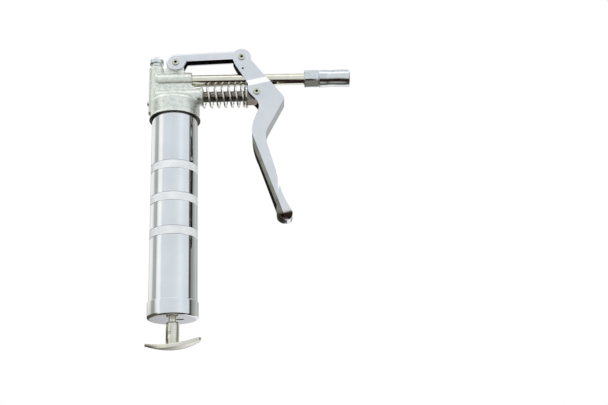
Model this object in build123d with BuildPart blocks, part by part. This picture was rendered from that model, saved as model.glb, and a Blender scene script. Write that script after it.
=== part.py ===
from build123d import *
import os

os.makedirs("parts", exist_ok=True)

# A pistol grease gun of the 85 g (3 oz) size, standing upright.  The barrel axis is Z, the outlet
# pipe points along +X, and the origin is on the barrel axis at the middle of the bare barrel.

# Barrel
barrel_r = 19.0
barrel_wall = 1.4
bare_half = 78.0                            # half the length left bare between head and cap
thread_r = barrel_r - 0.5                   # the barrel's necked, threaded ends
thread_fit = 0.05
thread_engaged = 10.0
knurl_width = 6.6
knurl_rise = 0.12
knurl_heights = (bare_half - 46.0, bare_half - 73.4, bare_half - 101.6)

# Head casting
collar_r = barrel_r + 1.5
collar_lip_r = collar_r + 0.8
collar_height = 19.2
valve_x = 2.9 - barrel_r
valve_boss_r = 6.35
valve_boss_top = bare_half + 50.7
plunger_z = bare_half + 22.2
plunger_r = 4.5
plunger_fit = 0.05
plunger_boss_r = plunger_r + 3.1
plunger_boss_end = barrel_r + 5.0

# The plunger's spring passes over the boss, and the outlet pipe passes over its washer.
spring_wire_r = 0.75
spring_r = plunger_boss_r + spring_wire_r + 0.7
washer_r = spring_r + spring_wire_r + 0.3
pipe_gap = 0.3
pipe_r = 5.0
pipe_bore_r = 2.2
outlet_z = plunger_z + washer_r + pipe_gap + pipe_r
outlet_boss_r = pipe_r + 2.4
outlet_boss_end = 14.2

# Linkage
sheet = 1.3
link_pivot = (0.5, outlet_z + 16.0)         # x and z of the pivot on the head
lever_pivot = (57.1, outlet_z + 18.9)       # x and z of the pivot between link and lever
plunger_pin_x = 69.3
link_sheet = 1.5
cheek_half = pipe_r + 0.45 + sheet          # upper cheeks, astride the pipe
link_half = cheek_half - sheet - 0.25       # the link, between them
lug_half = link_half - link_sheet - 0.2     # the head's lug, between the link's flanges
eye_half_width = 5.6
palm_half = eye_half_width + 1.55 + sheet   # lower cheeks, astride the plunger eye
flare_half = 11.0                           # the handle's tip
joggle_tilt = 11.5                          # degrees, the line where the cheeks step outwards
pivot_pin_r = 2.2
pivot_fit = 0.06

# Plunger and its washer
washer_x = 61.4                             # the washer's face that bears on the plunger eye
washer_thick = 1.5
spring_seat_x = collar_r + 0.7
pin_travel = 1.0                            # how far the pin rises and falls in the eye's slot

# Outlet pipe and coupler
pipe_socket_x = 4.0
nut_x = 110.4
nut_length = 11.9
coupler_gap = 0.4
coupler_x = nut_x + nut_length + coupler_gap
coupler_length = 26.5
coupler_nose = coupler_x + coupler_length
coupler_r = pipe_r + 2.6
mouth_r = 3.6

# Follower rod and T-handle
rod_r = 3.0
rod_fit = 0.08
rod_stroke = 100.0
cap_r = barrel_r + 0.9
cap_depth = 13.0
cap_floor = 2.6
cap_low = -bare_half - cap_depth
sleeve_r = rod_r + 2.1
sleeve_top = cap_low - 2.2
sleeve_length = 17.8
handle_turn = -23.0                         # degrees about Z
follower_z = bare_half - 16.0


def across(x, z):
    """A plane that faces +X with its centre at x, z."""
    return Plane(origin=(x, 0, z), x_dir=(0, 1, 0), z_dir=(1, 0, 0))


def level(x, z):
    """A horizontal plane at height z, centred on x."""
    return Plane(origin=(x, 0, z))


# ---------------------------------------------------------------- barrel

barrel_top = bare_half + thread_engaged + 1.5
barrel_low = -bare_half - thread_engaged + 0.5
barrel_bore_r = barrel_r - barrel_wall

with BuildPart() as barrel_tube:
    with BuildSketch(level(0, -bare_half)):
        Circle(barrel_r)
    extrude(amount=2 * bare_half)
    chamfer(barrel_tube.edges().filter_by(GeomType.CIRCLE), 0.3)
    with BuildSketch(level(0, barrel_low)):
        Circle(thread_r)
    extrude(amount=barrel_top - barrel_low)
    for height in knurl_heights:
        with BuildSketch(level(0, height - knurl_width / 2)):
            Circle(barrel_r + knurl_rise)
        extrude(amount=knurl_width)
    with BuildSketch(level(0, barrel_low)):
        Circle(barrel_bore_r)
    extrude(amount=barrel_top - barrel_low, mode=Mode.SUBTRACT)

with BuildPart() as barrel_gasket:
    with BuildSketch(level(0, barrel_top)):
        Circle(thread_r - 0.1)
        Circle(barrel_bore_r, mode=Mode.SUBTRACT)
    extrude(amount=1.5)

# The cap screws on below; beside its rod hole is a slot that locks the drawn rod.
with BuildPart() as end_cap:
    with BuildSketch(level(0, cap_low)):
        Circle(cap_r)
    extrude(amount=cap_depth)
    fillet(end_cap.faces().sort_by(Axis.Z)[0].edges(), 1.9)
    fillet(end_cap.faces().sort_by(Axis.Z)[-1].edges(), 0.5)
    with BuildSketch(level(0, cap_low + cap_floor)):
        Circle(thread_r + thread_fit)
    extrude(amount=cap_depth, mode=Mode.SUBTRACT)
    with BuildSketch(level(0, cap_low)):
        Circle(rod_r + rod_fit)
        with Locations((rod_r + 2.2, 0)):
            SlotOverall(7.5, 3.4)
    extrude(amount=cap_floor, mode=Mode.SUBTRACT)

# ---------------------------------------------------------------- follower and rod

rod_low = sleeve_top - sleeve_length + 2.0
nut_floor = follower_z + 2.2

with BuildPart() as follower_cup:
    with BuildSketch(level(0, follower_z)):
        Circle(barrel_bore_r - rod_fit)
    extrude(amount=12.0)
    with BuildSketch(level(0, nut_floor)):
        Circle(barrel_bore_r - 2.0)
    extrude(amount=12.0, taper=-4, mode=Mode.SUBTRACT)
    with BuildSketch(level(0, follower_z)):
        Circle(rod_r + rod_fit)
    extrude(amount=12.0, mode=Mode.SUBTRACT)

with BuildPart() as follower_plate:
    with BuildSketch(level(0, follower_z)):
        Circle(barrel_bore_r - 1.2)
        Circle(rod_r + rod_fit, mode=Mode.SUBTRACT)
    extrude(amount=-1.5)

spring_low = cap_low + cap_floor + 0.8
spring_high = follower_z - 1.5 - 0.8

with BuildPart() as follower_spring:
    with BuildLine() as follower_coil:
        Helix(pitch=(spring_high - spring_low) / 11, height=spring_high - spring_low, radius=13.5,
              center=(0, 0, spring_low))
    with BuildSketch(Plane(origin=follower_coil.line @ 0, z_dir=follower_coil.line % 0)):
        Circle(0.8)
    sweep(is_frenet=True)

with BuildPart() as rod_nut:
    with BuildSketch(level(0, nut_floor + 0.1)):
        RegularPolygon(5.8, 6)
        Circle(rod_r, mode=Mode.SUBTRACT)
    extrude(amount=4.0)

with BuildPart() as rod_clip:
    with BuildSketch(level(0, follower_z - 1.6)):
        Circle(5.4)
        Circle(rod_r, mode=Mode.SUBTRACT)
    extrude(amount=-1.2)

sleeve_low = sleeve_top - sleeve_length
turned_x = Vector(1, 0, 0).rotate(Axis.Z, handle_turn)
turned_y = Vector(0, 1, 0).rotate(Axis.Z, handle_turn)
pin_plane = Plane(origin=(0, 0, sleeve_low + 9.0), x_dir=turned_x, z_dir=turned_y)

with BuildPart() as handle_sleeve:
    with BuildSketch(level(0, sleeve_low)):
        Circle(sleeve_r)
    extrude(amount=sleeve_length)
    fillet(handle_sleeve.faces().sort_by(Axis.Z)[-1].edges(), 1.2)
    with BuildSketch(level(0, rod_low)):
        Circle(rod_r)
    extrude(amount=sleeve_length, mode=Mode.SUBTRACT)
    with BuildSketch(pin_plane):
        Circle(1.25)
    extrude(amount=2 * sleeve_r, both=True, mode=Mode.SUBTRACT)

with BuildPart() as pull_rod:
    with BuildSketch(level(0, rod_low)):
        Circle(rod_r)
    extrude(amount=nut_floor + 6.0 - rod_low)
    chamfer(pull_rod.faces().sort_by(Axis.Z)[-1].edges(), 0.6)
    # the neck that drops into the cap's slot when the rod is drawn
    with BuildSketch(level(0, cap_low + rod_stroke - 0.7)):
        Circle(rod_r)
        Circle(1.6, mode=Mode.SUBTRACT)
    extrude(amount=4.0, mode=Mode.SUBTRACT)
    with BuildSketch(pin_plane):
        Circle(1.25)
    extrude(amount=2 * rod_r, both=True, mode=Mode.SUBTRACT)

with BuildPart() as handle_pin:
    with BuildSketch(pin_plane):
        Circle(1.25)
    extrude(amount=sleeve_r - 0.1, both=True)
    chamfer(handle_pin.edges(), 0.25)

# The bar is a bowed plate, thickest at the sleeve, with its ends towards the barrel.
bar_half = 24.2
bar_reach = bar_half + 1.0
bar_lift = 3.5
bar_thick = 3.0
bar_seat = 0.5                              # the sleeve's foot stands this deep in the bar

with BuildPart() as t_handle:
    with BuildSketch(Plane(origin=(0, 0, sleeve_low - bar_thick + bar_seat), x_dir=turned_x,
                           z_dir=-turned_y)):
        with BuildLine():
            ThreePointArc((-bar_reach, bar_thick + bar_lift), (0, bar_thick), (bar_reach, bar_thick + bar_lift))
            Line((bar_reach, bar_thick + bar_lift), (bar_reach, bar_lift + 1.0))
            ThreePointArc((bar_reach, bar_lift + 1.0), (0, 0), (-bar_reach, bar_lift + 1.0))
            Line((-bar_reach, bar_lift + 1.0), (-bar_reach, bar_thick + bar_lift))
        make_face()
    extrude(amount=8.0, both=True)
    with BuildSketch(Plane(origin=(0, 0, sleeve_low - 10.0), x_dir=turned_x)):
        with BuildLine():
            ThreePointArc((-bar_half + 2.5, 3.4), (0, 6.2), (bar_half - 2.5, 3.4))
            ThreePointArc((bar_half - 2.5, 3.4), (bar_half, 0), (bar_half - 2.5, -3.4))
            ThreePointArc((bar_half - 2.5, -3.4), (0, -6.2), (-bar_half + 2.5, -3.4))
            ThreePointArc((-bar_half + 2.5, -3.4), (-bar_half, 0), (-bar_half + 2.5, 3.4))
        make_face()
    extrude(amount=30.0, mode=Mode.INTERSECT)
    with BuildSketch(level(0, sleeve_low)):
        Circle(sleeve_r + 0.05)
    extrude(amount=3.0, mode=Mode.SUBTRACT)

# ---------------------------------------------------------------- head

passage_r = 1.8
valve_bore_r = 3.2
valve_bore_low = plunger_z + 6.0
plug_thread_r = 4.0
plug_thread_low = outlet_z + 6.0
plunger_bore_end = -8.5
seal_x = plunger_boss_end - 6.7
collar_top = bare_half + collar_height
boss_foot = bare_half + 7.0
vent_x = valve_x - valve_boss_r - 0.9
vent_z = collar_top - 2.0

with BuildPart() as head_casting:
    # the collar, with a thin lip round its mouth and a domed top
    with BuildSketch(Plane.XZ):
        with BuildLine():
            Polyline((0, bare_half), (collar_lip_r, bare_half), (collar_lip_r, bare_half + 1.2),
                     (collar_r, bare_half + 2.2), (collar_r, collar_top - 5.0))
            ThreePointArc((collar_r, collar_top - 5.0), (collar_r - 2.2, collar_top - 1.2),
                          (collar_r - 7.0, collar_top))
            Polyline((collar_r - 7.0, collar_top), (0, collar_top), (0, bare_half))
        make_face()
    revolve(axis=Axis.Z)
    # the upright valve boss, on the left edge of the collar
    with BuildSketch(level(valve_x, boss_foot)):
        Circle(valve_boss_r)
    extrude(amount=valve_boss_top - boss_foot)
    fillet(head_casting.faces().sort_by(Axis.Z)[-1].edges(), 2.0)
    # the body between the bosses
    with BuildSketch(Plane.XZ):
        with BuildLine():
            Polyline((valve_x, collar_top - 6.0), (collar_r - 5.0, collar_top - 6.0),
                     (collar_r + 2.0, plunger_z + 2.0), (outlet_boss_end - 1.0, outlet_z - 5.5),
                     (valve_x, outlet_z + 6.0), close=True)
        make_face()
    extrude(amount=5.6, both=True)
    # the plunger boss and the outlet boss
    with BuildSketch(across(valve_x, plunger_z)):
        Circle(plunger_boss_r)
    extrude(amount=plunger_boss_end - valve_x)
    chamfer(head_casting.faces().sort_by(Axis.X)[-1].edges(), 0.6)
    with BuildSketch(across(valve_x, outlet_z)):
        Circle(outlet_boss_r)
    extrude(amount=outlet_boss_end - valve_x)
    # the lug that carries the link
    with BuildSketch(Plane.XZ):
        with BuildLine():
            Polyline((-9.5, outlet_z), (8.0, outlet_z), (8.0, outlet_z + 8.0), (6.6, link_pivot[1]),
                     (-5.6, link_pivot[1]), (-9.5, outlet_z + 8.0), close=True)
        make_face()
        with Locations(link_pivot):
            Circle(6.2)
    extrude(amount=lug_half, both=True)
    # collar thread, grease inlet and plunger bore
    with BuildSketch(level(0, bare_half - 1)):
        Circle(thread_r + thread_fit)
    extrude(amount=barrel_top + 1.5 - bare_half + 1, mode=Mode.SUBTRACT)
    with BuildSketch(level(6.0, bare_half)):
        Circle(2.5)
    extrude(amount=plunger_z - bare_half, mode=Mode.SUBTRACT)
    with BuildSketch(across(plunger_bore_end, plunger_z)):
        Circle(plunger_r + plunger_fit)
    extrude(amount=plunger_boss_end - plunger_bore_end, mode=Mode.SUBTRACT)
    with BuildSketch(across(seal_x, plunger_z)):
        Circle(plunger_r + 1.5)
    extrude(amount=2.0, mode=Mode.SUBTRACT)
    # passage to the valve, valve bore, and passage to the pipe
    with BuildSketch(across(valve_x, plunger_z)):
        Circle(passage_r)
    extrude(amount=plunger_bore_end - valve_x, mode=Mode.SUBTRACT)
    with BuildSketch(level(valve_x, plunger_z - passage_r)):
        Circle(passage_r)
    extrude(amount=valve_bore_low - plunger_z + passage_r, mode=Mode.SUBTRACT)
    with BuildSketch(level(valve_x, valve_bore_low)):
        Circle(valve_bore_r)
    extrude(amount=valve_boss_top - valve_bore_low, mode=Mode.SUBTRACT)
    with BuildSketch(level(valve_x, plug_thread_low)):
        Circle(plug_thread_r)
    extrude(amount=valve_boss_top - plug_thread_low, mode=Mode.SUBTRACT)
    with BuildSketch(across(valve_x, outlet_z)):
        Circle(pipe_bore_r)
    extrude(amount=pipe_socket_x - valve_x, mode=Mode.SUBTRACT)
    with BuildSketch(across(pipe_socket_x, outlet_z)):
        Circle(pipe_r)
    extrude(amount=outlet_boss_end - pipe_socket_x, mode=Mode.SUBTRACT)
    # pivot hole and the vent screw's hole
    with BuildSketch(Plane.XZ):
        with Locations(link_pivot):
            Circle(pivot_pin_r)
    extrude(amount=valve_boss_r, both=True, mode=Mode.SUBTRACT)
    with BuildSketch(across(vent_x - 2.0, vent_z)):
        Circle(2.6)
    extrude(amount=2.0 + 2.4, mode=Mode.SUBTRACT)
    with BuildSketch(across(vent_x, vent_z)):
        Circle(1.5)
    extrude(amount=5.0, mode=Mode.SUBTRACT)

with BuildPart() as vent_screw:
    with BuildSketch(across(vent_x, vent_z)):
        Circle(2.5)
    extrude(amount=2.4)
    chamfer(vent_screw.faces().sort_by(Axis.X)[0].edges(), 0.5)
    with BuildSketch(across(vent_x, vent_z)):
        Circle(1.45)
    extrude(amount=4.6)
    with BuildSketch(across(vent_x, vent_z)):
        Rectangle(6, 0.7)
    extrude(amount=0.6, mode=Mode.SUBTRACT)

plug_washer_thick = 1.0

with BuildPart() as plug_washer:
    with BuildSketch(level(valve_x, valve_boss_top)):
        Circle(valve_boss_r - 1.3)
        Circle(plug_thread_r, mode=Mode.SUBTRACT)
    extrude(amount=plug_washer_thick)

with BuildPart() as check_valve_plug:
    with BuildSketch(level(valve_x, plug_thread_low + 0.5)):
        Circle(plug_thread_r)
    extrude(amount=valve_boss_top - plug_thread_low - 0.5 + plug_washer_thick)
    with BuildSketch(level(valve_x, valve_boss_top + plug_washer_thick)):
        Circle(4.6)
    extrude(amount=2.0)
    with BuildSketch(level(valve_x, valve_boss_top + plug_washer_thick + 2.0)):
        Circle(5.85)
    extrude(amount=5.8)
    fillet(check_valve_plug.faces().sort_by(Axis.Z)[-1].edges(), 2.4)
    fillet(check_valve_plug.edges().filter_by(GeomType.CIRCLE).filter_by_position(
        Axis.Z, valve_boss_top + plug_washer_thick + 1.9, valve_boss_top + plug_washer_thick + 2.1
    ).sort_by(SortBy.RADIUS)[-1], 0.8)

ball_r = 2.5

with BuildPart() as check_ball:
    with Locations((valve_x, 0, valve_bore_low + (ball_r**2 - passage_r**2) ** 0.5)):
        Sphere(ball_r)

valve_spring_low = valve_bore_low + 2 * ball_r + 0.1
valve_spring_high = plug_thread_low + 0.1

with BuildPart() as check_spring:
    with BuildLine() as valve_coil:
        Helix(pitch=1.7, height=valve_spring_high - valve_spring_low, radius=1.9,
              center=(valve_x, 0, valve_spring_low))
    with BuildSketch(Plane(origin=valve_coil.line @ 0, z_dir=valve_coil.line % 0)):
        Circle(0.3)
    sweep(is_frenet=True)

with BuildPart() as plunger_seal:
    with BuildSketch(Plane.XZ):
        with Locations((seal_x + 1.0, plunger_z + plunger_r + plunger_fit + 0.7)):
            Circle(0.68)
    revolve(axis=Axis((0, 0, plunger_z), (1, 0, 0)))

# ---------------------------------------------------------------- plunger

eye_half_height = 6.0
slot_half = pivot_pin_r + 0.3
rest_tip_x = 9.5

with BuildPart() as plunger:
    with BuildSketch(across(rest_tip_x, plunger_z)):
        Circle(plunger_r)
    extrude(amount=washer_x - rest_tip_x)
    chamfer(plunger.faces().sort_by(Axis.X)[0].edges(), 0.5)
    with BuildSketch(Plane.XZ):
        with Locations((washer_x + 6.8, plunger_z)):
            Rectangle(13.6, 2 * eye_half_height)
    extrude(amount=eye_half_width, both=True)
    fillet(plunger.edges().filter_by(Axis.Y).group_by(Axis.X)[-1], 4.0)
    with BuildSketch(Plane.XZ):
        with Locations((plunger_pin_x, plunger_z)):
            SlotOverall(2 * (slot_half + pin_travel), 2 * slot_half, rotation=90)
    extrude(amount=eye_half_width, both=True, mode=Mode.SUBTRACT)

with BuildPart() as spring_washer:
    with BuildSketch(across(washer_x - washer_thick, plunger_z)):
        Circle(washer_r)
        Circle(plunger_r + 0.1, mode=Mode.SUBTRACT)
    extrude(amount=washer_thick)
    chamfer(spring_washer.edges().filter_by(GeomType.CIRCLE).group_by(SortBy.RADIUS)[-1], 0.3)

return_span = washer_x - washer_thick - spring_seat_x - 2 * spring_wire_r - 0.1
coil_start = spring_seat_x + spring_wire_r + 0.05

with BuildPart() as return_spring:
    with BuildLine() as return_coil:
        Helix(pitch=return_span / 9, height=return_span, radius=spring_r,
              center=(coil_start, 0, plunger_z), direction=(1, 0, 0))
    with BuildSketch(Plane(origin=return_coil.line @ 0, z_dir=return_coil.line % 0)):
        Circle(spring_wire_r)
    sweep(is_frenet=True)

# ---------------------------------------------------------------- link and lever

with BuildPart() as fulcrum_link:
    # a channel with its web on top, and an eye at each end of its flanges
    link_low = link_pivot[1] + 1.4
    with BuildSketch(Plane.XZ):
        with Locations(link_pivot):
            Circle(8.0)
        with Locations(lever_pivot):
            Circle(7.6)
        with BuildLine():
            Polyline((link_pivot[0], link_pivot[1] + 8.0), (lever_pivot[0], lever_pivot[1] + 7.6),
                     (lever_pivot[0], lever_pivot[1] - 2.0), (lever_pivot[0] - 7.0, link_low + 1.3),
                     (link_pivot[0] + 9.6, link_low), (link_pivot[0] + 7.4, link_pivot[1] - 3.0),
                     link_pivot, close=True)
        make_face()
    extrude(amount=link_half, both=True)
    fillet(fulcrum_link.faces().filter_by(Axis.Z, tolerance=5).sort_by(Axis.Z)[-1].edges(), 1.6)
    with BuildSketch(Plane.XZ):
        with BuildLine():
            Polyline((link_pivot[0] - 12, link_pivot[1] - 12), (lever_pivot[0] + 12, link_pivot[1] - 12),
                     (lever_pivot[0] + 12, lever_pivot[1] + 7.6 - sheet),
                     (lever_pivot[0] - 2.0, lever_pivot[1] + 7.6 - sheet),
                     (link_pivot[0] + 2.0, link_pivot[1] + 8.0 - sheet),
                     (link_pivot[0] - 12, link_pivot[1] + 8.0 - sheet), close=True)
        make_face()
    extrude(amount=link_half - link_sheet, both=True, mode=Mode.SUBTRACT)
    with BuildSketch(Plane.XZ):
        with Locations(link_pivot):
            Circle(pivot_pin_r + pivot_fit)
        with Locations(lever_pivot):
            Circle(pivot_pin_r)
    extrude(amount=2 * link_half, both=True, mode=Mode.SUBTRACT)

# The lever is pressed from one sheet: two cheeks joined by a web along the fingers' side, which
# starts at the elbow and wraps round the handle's tip.  Its outline is drawn from its pivot.
lever_plane = Plane(origin=(lever_pivot[0], 0, lever_pivot[1]), x_dir=(1, 0, 0), z_dir=(0, -1, 0))
tilt_x = Vector(1, 0, 0).rotate(Axis.Y, -joggle_tilt)
front_plane = Plane(origin=lever_plane.origin, x_dir=(0, 1, 0), z_dir=tilt_x)
eye_r = 7.9
elbow = (35.6, -40.6)
waist = (19.2, -73.0)
tip = (38.6, -143.5)
web_start = (24.5, -61.2)                   # where the web leaves the waist's curve
web_slope = (elbow[0] - web_start[0], elbow[1] - web_start[1])

with BuildSketch(lever_plane) as lever_side:
    with BuildLine():
        ThreePointArc((7.6, -2.2), (0, eye_r), (-7.6, -2.2))
        Spline((-7.6, -2.2), (-4.2, -9.5), (1.0, -18.2), (5.2, -27.5))
        Spline((5.2, -27.5), (5.6, -34.5), (10.6, -40.5), (13.7, -47.2), (10.8, -56.5),
               (7.8, -67.0), (7.6, -77.5), (12.2, -95.5))
        Line((12.2, -95.5), (26.2, -138.0))
        Spline((26.2, -138.0), (29.3, -146.4), (34.9, -148.3), tip)
        Spline(tip, (31.8, -130.0), (26.2, -107.0), (20.9, -87.0), waist, web_start,
               tangents=((-0.5, 0.9), web_slope))
        Line(web_start, elbow)
        Line(elbow, (7.6, -2.2))
    make_face()

# the lever seen from the handle's side: the pressing's outside, then its inside
front_faces = []
for inset in (0, sheet):
    with BuildSketch(front_plane) as lever_front:
        with BuildLine():
            Polyline((0, 14), (cheek_half - inset, 14), (cheek_half - inset, -23.3),
                     (palm_half - inset, -29.1), (palm_half - inset, -92.0))
            Spline((palm_half - inset, -92.0), (palm_half + 0.9 - inset, -115.0),
                   (flare_half - inset, -142.0), tangents=((0, -1), (0, -1)))
            ThreePointArc((flare_half - inset, -142.0), (0.73 * flare_half - inset, -149.9 + inset),
                          (0, -153.6 + inset))
            Line((0, -153.6 + inset), (0, 14))
        make_face()
        mirror(about=Plane.YZ)
    front_faces.append(lever_front.sketch)
outer_front, inner_front = front_faces

# the space inside the lever: open towards the barrel, and open on both sides above the elbow
with BuildPart() as lever_hollow:
    with BuildSketch(lever_plane):
        with BuildLine():
            Polyline((26.6, -140.0), (-40, -122), (-40, 20), (60, 20), (60, elbow[1]),
                     (elbow[0] - sheet - 0.2, elbow[1]), (web_start[0] - sheet - 0.2, web_start[1]))
            Spline((web_start[0] - sheet - 0.2, web_start[1]), (waist[0] - sheet, waist[1]),
                   (20.9 - sheet, -87.0), (26.2 - sheet, -107.0), (31.8 - sheet, -130.0),
                   (tip[0] - sheet, tip[1]))
            Spline((tip[0] - sheet, tip[1]), (34.4, -146.9), (30.2, -145.2), (26.6, -140.0))
        make_face()
    extrude(amount=30, both=True)
    extrude(inner_front, amount=120, both=True, mode=Mode.INTERSECT)


with BuildPart() as lever:
    extrude(lever_side.sketch, amount=20, both=True)
    fillet(lever.edges().filter_by(Axis.Y).filter_by_position(
        Axis.X, lever_pivot[0] + elbow[0] - 0.1, lever_pivot[0] + elbow[0] + 0.1), 2.0)
    extrude(outer_front, amount=120, both=True, mode=Mode.INTERSECT)
    add(lever_hollow.part, mode=Mode.SUBTRACT)
    with BuildSketch(lever_plane):
        Circle(pivot_pin_r + pivot_fit)
        with Locations((plunger_pin_x - lever_pivot[0], plunger_z - lever_pivot[1])):
            Circle(pivot_pin_r)
        with Locations((0.8, -11.0)):
            Circle(0.9)
    extrude(amount=30, both=True, mode=Mode.SUBTRACT)


def rivet(name, centre, grip_half):
    """A hollow rivet through two cheeks, with its heads turned over outside them."""
    with BuildPart() as pin:
        with BuildSketch(Plane.XZ):
            with Locations(centre):
                Circle(pivot_pin_r)
        extrude(amount=grip_half + 0.1, both=True)
        for side in (Plane.XZ.offset(grip_half + 0.1), Plane.XZ.offset(-grip_half - 0.1)):
            reach = 0.8 if side.origin.Y < 0 else -0.8
            with BuildSketch(side):
                with Locations(centre):
                    Circle(pivot_pin_r + 0.9)
            extrude(amount=reach)
        chamfer(pin.edges().filter_by(GeomType.CIRCLE).group_by(Axis.Y)[0], 0.3)
        chamfer(pin.edges().filter_by(GeomType.CIRCLE).group_by(Axis.Y)[-1], 0.3)
        for side in (Plane.XZ.offset(grip_half + 0.9), Plane.XZ.offset(-grip_half - 0.9)):
            depth = -1.6 if side.origin.Y < 0 else 1.6
            with BuildSketch(side):
                with Locations(centre):
                    Circle(1.2)
            extrude(amount=depth, mode=Mode.SUBTRACT)
    pin.part.label = name
    return pin.part


# ---------------------------------------------------------------- outlet pipe and coupler

pipe_end = nut_x + nut_length - 2.2
body_bore_r = coupler_r - 1.35
spigot_r = body_bore_r - 0.05
jaw_length = 6.4
nose_wall = 2.2
coupler_plane = Plane(origin=(coupler_x, 0, outlet_z), x_dir=(1, 0, 0), z_dir=(0, -1, 0))
outlet_axis = Axis((0, 0, outlet_z), (1, 0, 0))

with BuildPart() as outlet_pipe:
    with BuildSketch(across(pipe_socket_x, outlet_z)):
        Circle(pipe_r)
        Circle(pipe_bore_r, mode=Mode.SUBTRACT)
    extrude(amount=pipe_end - pipe_socket_x)

with BuildPart() as coupler_nut:
    with BuildSketch(across(nut_x, outlet_z)):
        RegularPolygon(coupler_r + 0.7, 6, rotation=34)
    extrude(amount=nut_length)
    with BuildSketch(across(nut_x, outlet_z)):
        Circle(7.9)
    extrude(amount=nut_length, mode=Mode.INTERSECT)
    chamfer(coupler_nut.edges().group_by(Axis.X)[0], 0.5)
    with BuildSketch(across(nut_x, outlet_z)):
        Circle(spigot_r)
    extrude(amount=nut_length + 4.4)
    with BuildSketch(across(nut_x, outlet_z)):
        Circle(pipe_r)
    extrude(amount=pipe_end - nut_x, mode=Mode.SUBTRACT)
    with BuildSketch(across(nut_x, outlet_z)):
        Circle(pipe_bore_r)
    extrude(amount=nut_length + 5, mode=Mode.SUBTRACT)

with BuildPart() as coupler_body:
    with BuildSketch(coupler_plane):
        with BuildLine():
            Polyline((0, 0), (0, coupler_r - 0.5), (0.5, coupler_r), (6.0, coupler_r))
            ThreePointArc((6.0, coupler_r), (11.5, coupler_r - 0.35), (17.0, coupler_r))
            Polyline((17.0, coupler_r), (coupler_length - 0.7, coupler_r),
                     (coupler_length, coupler_r - 0.7), (coupler_length, 0), (0, 0))
        make_face()
    revolve(axis=outlet_axis)
    with BuildSketch(across(coupler_x, outlet_z)):
        Circle(body_bore_r)
    extrude(amount=coupler_length - nose_wall, mode=Mode.SUBTRACT)
    with BuildSketch(across(coupler_x, outlet_z)):
        Circle(mouth_r)
    extrude(amount=coupler_length, mode=Mode.SUBTRACT)

jaw_x = coupler_nose - nose_wall - jaw_length

with BuildPart() as coupler_jaws:
    with BuildSketch(across(jaw_x, outlet_z)):
        Circle(body_bore_r - 0.05)
        Circle(mouth_r, mode=Mode.SUBTRACT)
        with PolarLocations(body_bore_r / 2, 3, start_angle=90):
            Rectangle(body_bore_r + 2, 0.9, mode=Mode.SUBTRACT)
    extrude(amount=jaw_length)

seal_low_x = jaw_x - 3.2

with BuildPart() as coupler_seal:
    with BuildSketch(across(seal_low_x, outlet_z)):
        Circle(body_bore_r - 0.06)
        Circle(1.2, mode=Mode.SUBTRACT)
    extrude(amount=3.0)

with BuildPart() as coupler_piston:
    with BuildSketch(across(seal_low_x, outlet_z)):
        Circle(body_bore_r - 0.06)
        Circle(1.5, mode=Mode.SUBTRACT)
    extrude(amount=-1.6)

feed_spring_low = coupler_x + 4.4 + 0.5
feed_spring_span = seal_low_x - 1.6 - 0.5 - feed_spring_low

with BuildPart() as coupler_spring:
    with BuildLine() as feed_coil:
        Helix(pitch=feed_spring_span / 4, height=feed_spring_span, radius=4.6,
              center=(feed_spring_low, 0, outlet_z), direction=(1, 0, 0))
    with BuildSketch(Plane(origin=feed_coil.line @ 0, z_dir=feed_coil.line % 0)):
        Circle(0.45)
    sweep(is_frenet=True)

# ---------------------------------------------------------------- export

pieces = {
    "barrel_tube": barrel_tube.part,
    "barrel_gasket": barrel_gasket.part,
    "end_cap": end_cap.part,
    "follower_cup": follower_cup.part,
    "follower_plate": follower_plate.part,
    "follower_spring": follower_spring.part,
    "pull_rod": pull_rod.part,
    "rod_nut": rod_nut.part,
    "rod_clip": rod_clip.part,
    "handle_sleeve": handle_sleeve.part,
    "handle_pin": handle_pin.part,
    "t_handle": t_handle.part,
    "head_casting": head_casting.part,
    "vent_screw": vent_screw.part,
    "plug_washer": plug_washer.part,
    "check_valve_plug": check_valve_plug.part,
    "check_ball": check_ball.part,
    "check_spring": check_spring.part,
    "plunger_seal": plunger_seal.part,
    "plunger": plunger.part,
    "spring_washer": spring_washer.part,
    "return_spring": return_spring.part,
    "fulcrum_link": fulcrum_link.part,
    "lever": lever.part,
    "link_pivot_pin": rivet("link_pivot_pin", link_pivot, link_half),
    "lever_pivot_rivet": rivet("lever_pivot_rivet", lever_pivot, cheek_half),
    "plunger_pin": rivet("plunger_pin", (plunger_pin_x, plunger_z), palm_half),
    "outlet_pipe": outlet_pipe.part,
    "coupler_nut": coupler_nut.part,
    "coupler_body": coupler_body.part,
    "coupler_jaws": coupler_jaws.part,
    "coupler_seal": coupler_seal.part,
    "coupler_piston": coupler_piston.part,
    "coupler_spring": coupler_spring.part,
}

for name, piece in pieces.items():
    piece.label = name
    export_step(piece, f"parts/{name}.step")
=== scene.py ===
"""A pistol-lever grease gun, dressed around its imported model.

All sizes are metres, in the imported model's own frame: Z runs up the barrel and X along the outlet
pipe.
"""

import logging
import math
from dataclasses import dataclass, field
from enum import Enum

import bpy
from mathutils import Matrix, Vector


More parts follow.
